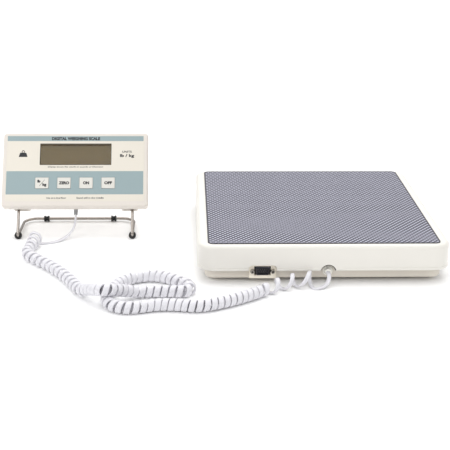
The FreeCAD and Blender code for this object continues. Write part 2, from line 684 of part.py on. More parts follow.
def rear_shell():
    body = new_body("rear_shell")
    rim = sketch_on(body, "-front_deep")
    rounded_rectangle(rim, "-head_w/2", "head_w/2", "0", "head_l", "head_corner")
    back = sketch_on(body, "-head_deep")
    rounded_rectangle(back, "-back_w/2", "back_w/2", "head_l/2 - back_l/2", "head_l/2 + back_l/2", "9")
    taper = body.newObject("PartDesign::AdditiveLoft", "rear_taper")
    taper.Profile = rim
    taper.Sections = [back]
    taper.Ruled = True
    for side in (-1, 1):
        block = sketch_on(body, "-front_deep - 13.5")
        rounded_rectangle(block, "%d*73.5 - 11" % side, "%d*73.5 + 11" % side, "1.2", "12", "1")
        pad(body, block, "13.5")
    inner_rim = sketch_on(body, "-front_deep")
    rounded_rectangle(inner_rim, "-head_w/2 + head_wall", "head_w/2 - head_wall", "head_wall + 10.6",
                      "head_l - head_wall", "head_corner - head_wall + 0.4")
    inner_back = sketch_on(body, "-head_deep + head_wall")
    rounded_rectangle(inner_back, "-back_w/2 + head_wall", "back_w/2 - head_wall",
                      "head_l/2 - back_l/2 + head_wall + 2", "head_l/2 + back_l/2 - head_wall", "7")
    hollow = body.newObject("PartDesign::SubtractiveLoft", "rear_hollow")
    hollow.Profile = inner_rim
    hollow.Sections = [inner_back]
    hollow.Ruled = True
    for side in (-1, 1):
        notch = sketch_on(body, "-pivot_deep + 5")
        rounded_rectangle(notch, "%d*73.6 - 8.2" % side, "%d*73.6 + 8.2" % side, "-6", "pivot_y + 6.2", "0.8")
        pocket(body, notch, "10.2")
    door = sketch_on(body, "-head_deep")
    rounded_rectangle(door, "-tub_w/2 - 3", "tub_w/2 + 3", "head_l/2 - tub_l/2 - 3",
                      "head_l/2 + tub_l/2 + 3", "1.2")
    pocket(body, door, "door_thick", upward=True)
    tub = sketch_on(body, "-head_deep")
    rounded_rectangle(tub, "-tub_w/2", "tub_w/2", "head_l/2 - tub_l/2", "head_l/2 + tub_l/2", "0.4")
    pocket(body, tub, "head_wall + 4", upward=True)
    gland = sketch_on(body, "4", "XZ_Plane")
    circle(gland, "0", "-gland_deep", "2.9")
    pocket(body, gland, "24")
    holes = sketch_on(body, "-head_deep - 1")
    for x, y in shell_screw_places():
        circle(holes, x, y, "1.6")
    pocket(body, holes, "head_wall + 3", upward=True)
    return keep(body, "rear_shell", HEAD)


def shell_screw_places():
    return [(x, y) for x in ("-back_w/2 + 10", "back_w/2 - 10") for y in ("head_l/2 - 30", "head_l/2 + 30")]


def shell_screws():
    screws = [join(cylinder(x, y, "-head_deep - 0.9", "3", "0.9"), cylinder(x, y, "-head_deep", "1.3", "31"))
              for x, y in shell_screw_places()]
    return keep(group(*screws), "shell_screws", HEAD)


def battery_tub():
    deep = "-head_deep + door_thick"
    outer = box("-tub_w/2 + 0.1", "head_l/2 - tub_l/2 + 0.1", deep, "tub_w - 0.2", "tub_l - 0.2",
                "tub_deep + 1.6")
    inner = box("-tub_w/2 + 1.7", "head_l/2 - tub_l/2 + 1.7", deep + " - 1", "tub_w - 3.4",
                "tub_l - 3.4", "tub_deep + 1")
    keep(cut(outer, inner), "battery_tub", HEAD)
    level = deep + " + 8.6"
    cells = []
    contacts = []
    for column in (-1, 1):
        for line in (-1, 0, 1):
            middle = "%d*(cell_len/2 + 0.8)" % column
            across = "head_l/2 + %d*(cell_dia + 1)" % line
            can = cylinder(middle + " - cell_len/2 + 0.3", across, level, "cell_dia/2", "cell_len - 1.8", "x")
            nub = cylinder(middle + " + cell_len/2 - 1.5", across, level, "2.7", "1.2", "x")
            cells.append(join(can, nub))
            plate = box("%d*(tub_w/2 - 1.96) - 0.25" % column, across + " - 4", level + " - 4", "0.5", "8", "8")
            contacts.append(plate)
    keep(group(*cells), "batteries", HEAD)
    keep(group(*contacts), "battery_contacts", HEAD)


def battery_door():
    body = new_body("battery_door")
    outline = sketch_on(body, "-head_deep")
    rounded_rectangle(outline, "-tub_w/2 - 3 + door_gap", "tub_w/2 + 3 - door_gap",
                      "head_l/2 - tub_l/2 - 3 + door_gap", "head_l/2 + tub_l/2 + 3 - door_gap", "2.2")
    pad(body, outline, "door_thick - 0.3")
    round_edges(body, -size("head_deep"), "0.5")
    round_edges(body, -size("head_deep") + size("door_thick") - 0.3, "0.5")
    grip = sketch_on(body, "-head_deep")
    for step in range(3):
        low = "head_l/2 + tub_l/2 - %g" % (10 - 4 * step)
        rounded_rectangle(grip, "-12", "12", low, low + " + 2", "0.5")
    pocket(body, grip, "0.6", upward=True)
    return keep(body, "battery_door", HEAD)


def head_gland():
    """Grey cord gland under the head; its axis runs down the face direction."""
    nose = cone("0", "0", "-gland_deep", "2.8", "2.3", "gland_nose", "-y")
    neck = cylinder("0", "0", "-gland_deep", "2.8", "14.5", "y")
    collar = cylinder("0", "14.4", "-gland_deep", "4.2", "1.4", "y")
    return keep(join(nose, neck, collar), "head_gland", HEAD)


def stand_clips():
    """Two clips under the rear shell that the ends of the stand wire turn in."""
    for name, side in (("stand_clip_left", -1), ("stand_clip_right", 1)):
        barrel = cylinder("%d*70 - 4" % side, "pivot_y", "-pivot_deep", "clip_dia/2 - 0.15", "8", "x")
        pad_block = box("%d*70 - 4" % side, "pivot_y", "-pivot_deep - clip_dia/2 + 0.15", "8", "6.2",
                        "clip_dia - 0.3")
        bore = cylinder("%d*70 - 6" % side, "pivot_y", "-pivot_deep", "wire_dia/2 + 0.05", "12", "x")
        keep(cut(join(barrel, pad_block), bore), name, HEAD)


# ---------------------------------------------------------------- wire stand

def on_head(x, y, z):
    return HEAD.multVec(Vector(x, y, z))


def rounded_path(points, radii):
    """Straight runs joined by tangent arcs: the wire, and the arc radii."""
    edges = []
    start = points[0]
    for before, corner, after, radius in zip(points, points[1:], points[2:], radii):
        inward = (before - corner).normalize()
        onward = (after - corner).normalize()
        half_turn = (math.pi - inward.getAngle(onward)) / 2
        back = radius * math.tan(half_turn)
        entry = corner + inward * back
        leave = corner + onward * back
        middle_line = (inward + onward).normalize()
        middle = corner + middle_line * (radius / math.cos(half_turn) - radius)
        edges.append(Part.LineSegment(start, entry).toShape())
        edges.append(Part.Arc(entry, middle, leave).toShape())
        start = leave
    edges.append(Part.LineSegment(start, points[-1]).toShape())
    return Part.Wire(edges)


def free_radii(points, share=0.45):
    """The largest arc at each point that its two runs allow."""
    radii = []
    for before, corner, after in zip(points, points[1:], points[2:]):
        shorter = min((corner - before).Length, (after - corner).Length)
        turn = math.pi - (before - corner).getAngle(after - corner)
        radii.append(share * shorter / math.tan(turn / 2))
    return radii


def tube(points, radius, radii=None):
    path = rounded_path(points, radii or free_radii(points))
    along = (points[1] - points[0]).normalize()
    section = Part.Wire(Part.makeCircle(radius, points[0], along))
    solid = path.makePipeShell([section], True, False)
    return solid, path.Length


def wire_stand():
    """One bent wire: pivot, leg, base run, rear bar and back again."""
    pivot = on_head(0, size("pivot_y"), -size("pivot_deep"))
    half = size("stand_half")
    right = [Vector(66.6, pivot.y, pivot.z), Vector(half, pivot.y, pivot.z),
             Vector(half, size("stand_front"), size("ring_dia") / 2),
             Vector(half, size("stand_back"), size("grommet_dia") / 2)]
    left = [Vector(-p.x, p.y, p.z) for p in reversed(right)]
    solid, length = tube(right + left, size("wire_dia") / 2, [3, 2.5, 18, 18, 2.5, 3])
    report_tube("wire_stand", solid, size("wire_dia") / 2, length)
    item = doc.addObject("Part::Feature", "stand_wire")
    item.Shape = solid
    return keep(item, "wire_stand", STAND)


def stand_rubbers():
    for name, side in (("left", -1), ("right", 1)):
        across = "%d*stand_half" % side
        ring = cylinder(across, "stand_front + 2.6", "ring_dia/2", "ring_dia/2", "ring_len", "y")
        bore = cylinder(across, "stand_front", "ring_dia/2", "wire_dia/2", "ring_len + 4", "y")
        keep(cut(ring, bore), "stand_foot_" + name, STAND)
    for name, side in (("left", -1), ("right", 1)):
        middle = "%d*grommet_half" % side
        level = "grommet_dia/2"
        halves = []
        for way, axis in ((-1, "-x"), (1, "x")):
            halves.append(cone(middle, "stand_back", level, "wire_dia/2 + 0.9", level, "flare_len", axis))
            halves.append(cylinder("%s + %d*flare_len" % (middle, way), "stand_back", level, level,
                                   "flare_rim", axis))
        bore = cylinder(middle + " - 6", "stand_back", level, "wire_dia/2", "12", "x")
        keep(cut(join(*halves), bore), "bar_grommet_" + name, STAND)


# ---------------------------------------------------------------- cord

# Row millimetres. The lead leaves the head, drops to the floor and runs into the first turn.
LEAD_ROUTE = [(-192, 7, 13), (-199, 0, 6.5), (-209, -9, 3.2), (-221, -16, 3), (-234, -19, 3.4)]
# The middle of the curly stretch, which passes over itself once.
COIL_ROUTE = [
    (-239, -18, 7.6), (-242, -44, 7.6), (-246, -69, 7.6), (-233, -88, 7.6), (-209, -112, 7.6),
    (-186, -146, 7.6), (-172, -174, 7.6), (-164, -192, 8.5), (-153, -204, 14), (-143, -219, 20),
    (-130, -228, 23.2), (-118, -216, 18), (-107, -203, 11), (-90, -197, 7.6), (-64, -196, 7.6),
    (-33, -198, 7.6), (-33, -178, 7.6), (-49, -164, 7.6), (-65, -151, 7.6), (-83, -147, 7.6),
    (-103, -153, 7.6), (-117, -168, 7.6), (-127, -190, 7.6), (-131, -213, 7.6), (-127, -233, 7.6),
    (-112, -243, 7.6), (-96, -243, 7.6), (-74, -235, 7.6), (-50, -235, 7.6), (-24, -241, 7.6),
    (2, -231, 7.6), (30, -214, 7.6), (58, -192, 7.6), (78, -177, 8), (98, -170, 9), (114, -168, 9.6),
    (128, -168, 9.6)]
TAIL_ROUTE = [(124, -169, 9.6), (136.45, -170, 14.6)]


def report_tube(name, solid, radius, length):
    expected = math.pi * radius ** 2 * length
    print("%s: length %.1f mm, volume %.0f, section times length %.0f"
          % (name, length, solid.Volume, expected))


def cord_piece(name, points, radius):
    solid, length = tube(points, radius)
    report_tube(name, solid, radius, length)
    print("  arc radii", ["%.0f" % r for r in free_radii(points)])
    item = doc.addObject("Part::Feature", name)
    item.Shape = solid
    return keep(item, name, Placement())


def cord():
    gland_tip = on_head(0, -size("gland_nose") - size("lead_gap"), -size("gland_deep"))
    below = on_head(0, -size("gland_nose") - size("lead_drop"), -size("gland_deep"))
    lead = [gland_tip, below] + [Vector(*p) for p in LEAD_ROUTE]
    cord_piece("cord_lead", lead, size("lead_dia") / 2)
    cord_piece("cord_coil", [Vector(*p) for p in COIL_ROUTE], size("coil_dia") / 2)
    nose = Vector(PLATFORM_X + size("outlet_x"),
                  -size("platform_d") / 2 + size("tray_inset") - 5.2, size("outlet_z"))
    cord_piece("cord_tail", [Vector(*p) for p in TAIL_ROUTE] + [nose], size("lead_dia") / 2)


# ---------------------------------------------------------------- build and write

platform_cover()
platform_mat()
support_plate()
load_posts()
base_tray()
base_feet()
load_cells()
cell_screws()
serial_port()
cord_bushing()
main_board()
cell_wires()
front_shell()
overlay_panel()
keys()
window_and_display()
display_board()
rear_shell()
shell_screws()
battery_tub()
battery_door()
head_gland()
stand_clips()
wire_stand()
stand_rubbers()
cord()

doc.recompute()
failed = [o.Name for o in doc.Objects if "Invalid" in o.State or "Error" in o.State]
if failed:
    raise RuntimeError("not computed: " + ", ".join(failed))

os.makedirs("parts", exist_ok=True)
for part in PARTS:
    shape = part.Shape
    if shape.isNull() or not shape.isValid():
        raise RuntimeError(part.Label + " has no valid shape")
    shape.exportStep("parts/%s.step" % part.Label)
    print("%-24s solids %2d  volume %10.0f  z %6.1f to %6.1f"
          % (part.Label, len(shape.Solids), shape.Volume, shape.BoundBox.ZMin, shape.BoundBox.ZMax))
print(len(PARTS), "parts")
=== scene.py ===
"""Weighing scale with a remote display head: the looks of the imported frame.

Metres in the row frame, +Z up, -Y towards the user. Small parts are laid out in millimetres on the
part that carries them and scaled by MM. On the head X runs right, Y up the face and Z out of it.
"""
import json
import math

import bmesh
import bpy
import numpy as np
from mathutils import Matrix, Vector, noise


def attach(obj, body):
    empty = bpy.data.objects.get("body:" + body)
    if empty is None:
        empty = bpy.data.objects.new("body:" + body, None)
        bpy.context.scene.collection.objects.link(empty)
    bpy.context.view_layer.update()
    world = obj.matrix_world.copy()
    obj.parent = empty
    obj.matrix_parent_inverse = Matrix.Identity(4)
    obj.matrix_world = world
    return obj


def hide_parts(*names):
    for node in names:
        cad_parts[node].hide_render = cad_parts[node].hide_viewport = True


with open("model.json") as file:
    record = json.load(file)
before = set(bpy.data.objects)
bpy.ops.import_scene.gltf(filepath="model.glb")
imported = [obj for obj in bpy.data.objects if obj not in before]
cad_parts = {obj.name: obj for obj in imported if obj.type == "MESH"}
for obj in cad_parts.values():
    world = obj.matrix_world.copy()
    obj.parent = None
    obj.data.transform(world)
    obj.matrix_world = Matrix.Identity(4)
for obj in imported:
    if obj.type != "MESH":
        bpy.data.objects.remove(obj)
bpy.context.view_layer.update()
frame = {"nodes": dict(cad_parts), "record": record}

NODES = frame["nodes"]
MM = 0.001

# ---------------------------------------------------------------- places and sizes, millimetres

PLATFORM_X = 132.05
MAT_W, MAT_D = 286.4, 303.6
MAT_TOP, MAT_BOTTOM, MAT_CORNER, MAT_EDGE_SHADE = 51, 49.2, 7, 1.5
PIT_DEPTH, PIT_ACROSS, PIT_ALONG = 0.7, 6.3, 3.8

HEAD_X, HEAD_Y, HEAD_Z = -188.95, 5.3, 44.8
HEAD_LEAN = math.radians(33.95)
HEAD_W, HEAD_L, HEAD_CORNER, SPLIT_DEEP = 198.2, 106.4, 5, 12
WINDOW = (-48.3, 48.3, 60.2, 90)
BAND_LEFT, BAND_RIGHT = -93.4, 92.7
INK = 0.04
KEY_W, KEY_L, KEY_PITCH, KEY_Y, KEY_PROUD = 18, 15.2, 29.95, 34, 0.7

WIRE, RING, RING_LENGTH, GROMMET = 4, 9.9, 4.4, 8.5
STAND_HALF, STAND_FRONT, STAND_BACK, GROMMET_HALF = 77.5, -1.5, 74, 47.6
PIVOT_Y, PIVOT_DEEP = 4.5, 17
GLAND_DEEP, GLAND_NOSE = 19, 6

OUTLET = Vector((PLATFORM_X + 4.4, -150.3, 14.6))
NOTCH_OUTER, NOTCH_INNER, NOTCH_Y = 10.4, 8.7, -155.6

# HEAD_MM stays in millimetres; the other places turn millimetres on a part into metres in the row.
ROW = Matrix.Scale(MM, 4)
HEAD_MM = Matrix.Translation((HEAD_X, HEAD_Y, HEAD_Z)) @ Matrix.Rotation(math.pi / 2 - HEAD_LEAN, 4, "X")
PLATFORM = ROW @ Matrix.Translation((PLATFORM_X, 0, 0))
STAND = ROW @ Matrix.Translation((HEAD_X, 0, 0))
HEAD = ROW @ HEAD_MM


# ---------------------------------------------------------------- camera and light

def aim_camera():
    yaw, pitch, roll = (math.radians(angle) for angle in (2.185, 19.75, 0.587))
    forward = Vector((math.sin(yaw) * math.cos(pitch), math.cos(yaw) * math.cos(pitch), -math.sin(pitch)))
    level = Vector((math.cos(yaw), -math.sin(yaw), 0))
    upright = level.cross(forward)
    right = math.cos(roll) * level + math.sin(roll) * upright
    top = math.cos(roll) * upright - math.sin(roll) * level
    data = bpy.data.cameras.new("camera")
    data.lens = 82.77
    data.sensor_width = 36
    data.clip_start = 0.05
    camera = bpy.data.objects.new("camera", data)
    place = Matrix((right, top, -forward)).transposed().to_4x4()
    place.translation = (-0.03555, -1.3274, 0.4973)
    camera.matrix_world = place
    bpy.context.scene.collection.objects.link(camera)
    bpy.context.scene.camera = camera


def softbox(name, place, aim, size, watts):
    data = bpy.data.lights.new(name, "AREA")
    data.shape = "RECTANGLE"
    data.size, data.size_y = size
    data.energy = watts
    lamp = bpy.data.objects.new(name, data)
    lamp.location = place
    lamp.rotation_euler = (Vector(aim) - Vector(place)).to_track_quat("-Z", "Y").to_euler()
    bpy.context.scene.collection.objects.link(lamp)


def light_studio():
    """A white ceiling that falls off to a dim horizon, with two soft lamps under it."""
    world = bpy.data.worlds.new("studio")
    world.use_nodes = True
    nodes, link = world.node_tree.nodes, world.node_tree.links.new
    sky = nodes["Background"]
    sky.inputs["Color"].default_value = (1, 1, 1, 1)
    where = nodes.new("ShaderNodeSeparateXYZ")
    link(nodes.new("ShaderNodeTexCoord").outputs["Generated"], where.inputs["Vector"])
    fall = nodes.new("ShaderNodeMapRange")
    fall.interpolation_type = "SMOOTHSTEP"
    fall.inputs["From Min"].default_value = 0.02
    fall.inputs["From Max"].default_value = 0.5
    fall.inputs["To Min"].default_value = 0.1
    fall.inputs["To Max"].default_value = 1.12
    link(where.outputs["Z"], fall.inputs["Value"])
    link(fall.outputs["Result"], sky.inputs["Strength"])
    bpy.context.scene.world = world
    bpy.context.scene.view_settings.view_transform = "Standard"
    softbox("over", (0.1, 0.3, 1.9), (0, 0.1, 0), (1.8, 1.4), 11)
    softbox("left", (-1.3, -1.1, 1.2), (0, 0, 0.05), (0.9, 0.9), 6)
    softbox("far", (0, 2.6, 2.4), (0, 2.2, 0), (4, 2), 22)


# ---------------------------------------------------------------- materials

def tone(red, green, blue):
    """A screen colour, 0 to 255, as the linear colour a shader takes."""
    screen = [channel / 255 for channel in (red, green, blue)]
    linear = [c / 12.92 if c <= 0.04045 else ((c + 0.055) / 1.055) ** 2.4 for c in screen]
    return (*linear, 1)


def socket(group, name, way, kind="NodeSocketFloat", value=None):
    item = group.interface.new_socket(name, in_out=way, socket_type=kind)
    if value is not None:
        item.default_value = value


def moulded_surface():
    """Faint mottling, uneven polish and fine grain, measured on the piece itself."""
    group = bpy.data.node_groups.new("moulded_surface", "ShaderNodeTree")
    socket(group, "Color", "INPUT", "NodeSocketColor", (0.8, 0.8, 0.8, 1))
    socket(group, "Mottle", "INPUT", value=0.04)
    socket(group, "Patch Scale", "INPUT", value=22)
    socket(group, "Roughness", "INPUT", value=0.4)
    socket(group, "Smudge", "INPUT", value=0.08)
    socket(group, "Grain Scale", "INPUT", value=1500)
    socket(group, "Color", "OUTPUT", "NodeSocketColor")
    socket(group, "Roughness", "OUTPUT")
    socket(group, "Height", "OUTPUT")
    nodes, link = group.nodes, group.links.new
    given = nodes.new("NodeGroupInput")
    result = nodes.new("NodeGroupOutput")
    where = nodes.new("ShaderNodeTexCoord").outputs["Object"]

    patches = nodes.new("ShaderNodeTexNoise")
    patches.inputs["Detail"].default_value = 4
    link(where, patches.inputs["Vector"])
    link(given.outputs["Patch Scale"], patches.inputs["Scale"])
    swing = nodes.new("ShaderNodeMapRange")
    swing.inputs["To Min"].default_value = -1
    swing.inputs["To Max"].default_value = 1
    link(patches.outputs["Fac"], swing.inputs["Value"])

    amount = nodes.new("ShaderNodeMath")
    amount.operation = "MULTIPLY_ADD"
    amount.inputs[2].default_value = 1
    link(swing.outputs["Result"], amount.inputs[0])
    link(given.outputs["Mottle"], amount.inputs[1])
    shade = nodes.new("ShaderNodeVectorMath")
    shade.operation = "SCALE"
    link(given.outputs["Color"], shade.inputs[0])
    link(amount.outputs[0], shade.inputs["Scale"])
    link(shade.outputs[0], result.inputs["Color"])

    wipes = nodes.new("ShaderNodeTexNoise")
    wipes.inputs["Scale"].default_value = 70
    wipes.inputs["Detail"].default_value = 6
    wipes.inputs["Distortion"].default_value = 0.6
    link(where, wipes.inputs["Vector"])
    centred = nodes.new("ShaderNodeMath")
    centred.operation = "SUBTRACT"
    centred.inputs[1].default_value = 0.5
    link(wipes.outputs["Fac"], centred.inputs[0])
    polish = nodes.new("ShaderNodeMath")
    polish.operation = "MULTIPLY_ADD"
    polish.use_clamp = True
    link(centred.outputs[0], polish.inputs[0])
    link(given.outputs["Smudge"], polish.inputs[1])
    link(given.outputs["Roughness"], polish.inputs[2])
    link(polish.outputs[0], result.inputs["Roughness"])

    grain = nodes.new("ShaderNodeTexNoise")
    grain.inputs["Detail"].default_value = 3
    link(where, grain.inputs["Vector"])
    link(given.outputs["Grain Scale"], grain.inputs["Scale"])
    link(grain.outputs["Fac"], result.inputs["Height"])
    return group


def finish(name, color, roughness=0.4, mottle=0.03, smudge=0.12, grain=1500, depth=0.02, patch=22,
           metallic=0.0, coat=0.0, sheen=0.0, transmission=0.0):
    """A material of one moulded, turned or rolled stuff, with its own grain and handling marks."""
    material = bpy.data.materials.new(name)
    material.use_nodes = True
    nodes, link = material.node_tree.nodes, material.node_tree.links.new
    shader = nodes["Principled BSDF"]
    shader.inputs["Metallic"].default_value = metallic
    shader.inputs["Coat Weight"].default_value = coat
    shader.inputs["Coat Roughness"].default_value = 0.15
    shader.inputs["Sheen Weight"].default_value = sheen
    shader.inputs["Transmission Weight"].default_value = transmission
    surface = nodes.new("ShaderNodeGroup")
    surface.node_tree = SURFACE
    surface.inputs["Color"].default_value = color
    surface.inputs["Mottle"].default_value = mottle
    surface.inputs["Patch Scale"].default_value = patch
    surface.inputs["Roughness"].default_value = roughness
    surface.inputs["Smudge"].default_value = smudge
    surface.inputs["Grain Scale"].default_value = grain
    bump = nodes.new("ShaderNodeBump")
    bump.inputs["Strength"].default_value = 0.35
    bump.inputs["Distance"].default_value = depth * MM
    link(surface.outputs["Color"], shader.inputs["Base Color"])
    link(surface.outputs["Roughness"], shader.inputs["Roughness"])
    link(surface.outputs["Height"], bump.inputs["Height"])
    link(bump.outputs["Normal"], shader.inputs["Normal"])
    return material


def mat_rubber():
    """Blue-grey rubber: the raised net keeps the rubber's own colour and the pits are painted near-black as
    shade.
    """
    material = finish("mat_rubber", tone(164, 164, 178), roughness=0.62, mottle=0.08, grain=2600, depth=0.05)
    nodes, link = material.node_tree.nodes, material.node_tree.links.new
    shader = nodes["Principled BSDF"]
    surface = next(node for node in nodes if node.type == "GROUP")
    # painted shade: below the net's top the colour is mixed towards near-black, standing in for the shade
    # inside the pits
    height = nodes.new("ShaderNodeSeparateXYZ")
    link(nodes.new("ShaderNodeTexCoord").outputs["Object"], height.inputs["Vector"])
    level = nodes.new("ShaderNodeMapRange")
    level.interpolation_type = "SMOOTHSTEP"
    level.inputs["From Min"].default_value = (MAT_TOP - PIT_DEPTH * 0.45) * MM
    level.inputs["From Max"].default_value = (MAT_TOP - 0.02) * MM
    link(height.outputs["Z"], level.inputs["Value"])
    pit_shade_mix = nodes.new("ShaderNodeMix")
    pit_shade_mix.data_type = "RGBA"
    pit_shade_mix.inputs["A"].default_value = tone(22, 21, 32)
    link(level.outputs["Result"], pit_shade_mix.inputs["Factor"])
    link(surface.outputs["Color"], pit_shade_mix.inputs["B"])
    link(pit_shade_mix.outputs["Result"], shader.inputs["Base Color"])
    return material


# ---------------------------------------------------------------- making pieces

def settle(piece, place, body, material):
    """Put a finished piece in its place, give it its finish and let it ride on its body."""
    bpy.context.scene.collection.objects.link(piece)
    piece.matrix_world = place
    piece.data.transform(place)
    piece.matrix_world = Matrix.Identity(4)
    piece.data.materials.clear()
    piece.data.materials.append(material)
    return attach(piece, body)


def from_mesh(name, mesh, place, body, material, smooth=40):
    mesh.name = name
    if smooth:
        mesh.shade_smooth()
        mesh.set_sharp_from_angle(angle=math.radians(smooth))
    return settle(bpy.data.objects.new(name, mesh), place, body, material)


def from_bmesh(name, shape, place, body, material, smooth=40):
    bmesh.ops.recalc_face_normals(shape, faces=shape.faces)
    mesh = bpy.data.meshes.new(name)
    shape.to_mesh(mesh)
    shape.free()
    return from_mesh(name, mesh, place, body, material, smooth)


def rounded_outline(left, right, low, high, radius, steps=6):
    """The corners of a rectangle as arcs, anticlockwise from the lower right."""
    points = []
    centres = [(right - radius, low + radius, -90), (right - radius, high - radius, 0),
               (left + radius, high - radius, 90), (left + radius, low + radius, 180)]
    for x, y, start in centres:
        for step in range(steps + 1):
            angle = math.radians(start + 90 * step / steps)
            points.append((x + radius * math.cos(angle), y + radius * math.sin(angle)))
    return points


def flat_shape(outlines, thick, base=0.0):
    """A flat sheet with holes: the first outline is the edge, the others are cut out."""
    curve = bpy.data.curves.new("sheet", "CURVE")
    curve.dimensions = "2D"
    curve.fill_mode = "BOTH"
    curve.extrude = thick / 2
    for outline in outlines:
        spline = curve.splines.new("POLY")
        spline.points.add(len(outline) - 1)
        for point, (x, y) in zip(spline.points, outline):
            point.co = (x, y, 0, 1)
        spline.use_cyclic_u = True
    mesh = as_mesh(curve)
    mesh.transform(Matrix.Translation((0, 0, base + thick / 2)))
    return mesh


def as_mesh(curve):
    holder = bpy.data.objects.new(curve.name, curve)
    bpy.context.scene.collection.objects.link(holder)
    graph = bpy.context.evaluated_depsgraph_get()
    mesh = bpy.data.meshes.new_from_object(holder.evaluated_get(graph))
    bpy.data.objects.remove(holder)
    bpy.data.curves.remove(curve)
    return mesh


def lettering(name, words, left, right, low, high, height, place, body, material, weight=0.0):
    """Printed words that fill a rectangle on a face, a hair proud of it."""
    curve = bpy.data.curves.new(name, "FONT")
    curve.body = words
    curve.extrude = 0.01
    curve.offset = weight
    curve.resolution_u = 3
    mesh = as_mesh(curve)
    points = np.array([v.co for v in mesh.vertices])
    (x0, y0, z0), (x1, y1, z1) = points.min(0), points.max(0)
    fit = (Matrix.Translation((left, low, height))
           @ Matrix.Diagonal(((right - left) / (x1 - x0), (high - low) / (y1 - y0), INK / (z1 - z0), 1))
           @ Matrix.Translation((-x0, -y0, -z0)))
    mesh.transform(fit)
    return from_mesh(name, mesh, place, body, material, smooth=0)


def turned(name, profile, place, body, material, around=32):
    """A turned piece: (distance from the axis, height along it) spun about Z."""
    shape = bmesh.new()
    rings = []
    for radius, height in profile:
        rings.append([shape.verts.new((radius * math.cos(a), radius * math.sin(a), height))
                      for a in (2 * math.pi * step / around for step in range(around))])
    for lower, upper in zip(rings, rings[1:]):
        for step in range(around):
            after = (step + 1) % around
            shape.faces.new((lower[step], lower[after], upper[after], upper[step]))
    for ring in (rings[0], rings[-1]):
        if (ring[0].co.xy - ring[around // 2].co.xy).length > 1e-3:
            shape.faces.new(ring)
    return from_bmesh(name, shape, place, body, material)


def ring_profile(inner, outer, low, high, soft):
    """A closed ring section with rounded outer corners, for turned()."""
    section = [(inner, low), (outer - soft, low)]
    section += [(outer - soft + soft * math.sin(a), low + soft - soft * math.cos(a))
                for a in (math.pi / 2 * step / 4 for step in range(1, 5))]
    section += [(outer - soft + soft * math.cos(a), high - soft + soft * math.sin(a))
                for a in (math.pi / 2 * step / 4 for step in range(5))]
    return section + [(inner, high), (inner, low)]


def along(axis, x, y, z):
    """A local place whose Z runs along the named axis."""
    turn = {"x": Matrix.Rotation(math.pi / 2, 4, "Y"), "y": Matrix.Rotation(-math.pi / 2, 4, "X"),
            "-y": Matrix.Rotation(math.pi / 2, 4, "X")}
    return Matrix.Translation((x, y, z)) @ turn[axis]


# ---------------------------------------------------------------- cord

CORD_WIDE, CORD_THICK = 6.3, 2.6
COILED_WIDE, LOOSE_WIDE = 7.1, 5.2
COIL_OUTER = 7.5
TURN_STEPS = 26

# The straight stretch from the gland down to the floor and into the first turn.
LEAD_ROUTE = [(-192, 7, 13), (-199, 0, 6.5), (-209, -9, 3.2), (-221, -16, 3), (-234, -19, 3.4)]
# The middle of the curly stretch, which passes over itself once.
COIL_ROUTE = [
    (-239, -18, 7.6), (-242, -44, 7.6), (-246, -69, 7.6), (-233, -88, 7.6), (-209, -112, 7.6),
    (-186, -146, 7.6), (-172, -174, 7.6), (-164, -192, 8.5), (-153, -204, 14), (-143, -219, 20),
    (-130, -228, 23.2), (-118, -216, 18), (-107, -203, 11), (-90, -197, 7.6), (-64, -196, 7.6),
    (-33, -198, 7.6), (-33, -178, 7.6), (-49, -164, 7.6), (-65, -151, 7.6), (-83, -147, 7.6),
    (-103, -153, 7.6), (-117, -168, 7.6), (-127, -190, 7.6), (-131, -213, 7.6), (-127, -233, 7.6),
    (-112, -243, 7.6), (-96, -243, 7.6), (-74, -235, 7.6), (-50, -235, 7.6), (-24, -241, 7.6),
    (2, -231, 7.6), (30, -214, 7.6), (58, -192, 7.6), (78, -177, 8), (98, -170, 9), (114, -168, 9.6),
    (128, -168, 9.6)]
# Out of the last turn, round in front of the outlet and back into it.
TAIL_ROUTE = [(120, -177, 1.5), (128.5, -175, 2.4), (135.2, -169, 6), (137.4, -163, 11.5),
              (OUTLET.x, -159.5, 14.6)]
COIL_END = 800
# (distance along the coil, advance of one turn) and (distance, outside radius).
TURN_ADVANCE = [(0, 9), (25, 11.3), (200, 11.3), (208, 8.8), (226, 8.8), (232, 6.4), (250, 6.4),
                (260, 8.7), (310, 9.2), (355, 8.8), (368, 12), (385, 12), (400, 8.8), (520, 8.8),
                (560, 8.6), (600, 8.3), (728, 8.2), (745, 14), (758, 20), (790, 20), (805, 15), (833, 15)]
TURN_RADIUS = [(0, 10), (32, 7.5), (735, 7.5), (770, 9), (833, 9.8)]
# Width of the flat strip: pressed wide where it is wound tight, its own width where it is drawn out.
STRIP_WIDTH = [(0, LOOSE_WIDE), (20, COILED_WIDE), (728, COILED_WIDE), (770, LOOSE_WIDE)]
# How far the top of a turn leans ahead of its bottom, for each unit of height.
TURN_LEAN = [(0, 0), (740, 0), (775, 0.3), (833, 0.5)]


def smooth_line(points):
    """Points close together on the smooth curve that the given points pull into shape."""
    curve = bpy.data.curves.new("route", "CURVE")
    curve.dimensions = "3D"
    curve.resolution_u = 10
    spline = curve.splines.new("NURBS")
    spline.points.add(len(points) - 1)
    for control, point in zip(spline.points, points):
        control.co = (*[c * MM for c in point], 1)
    spline.order_u = 3
    spline.use_endpoint_u = True
    mesh = as_mesh(curve)
    line = [v.co / MM for v in mesh.vertices]
    bpy.data.meshes.remove(mesh)
    return line


def at_distance(table, distance):
    return float(np.interp(distance, [d for d, v in table], [v for d, v in table]))


def measured(line):
    """Distance of each point along a line of points."""
    steps = [(b - a).length for a, b in zip(line, line[1:])]
    return np.concatenate(([0], np.cumsum(steps)))


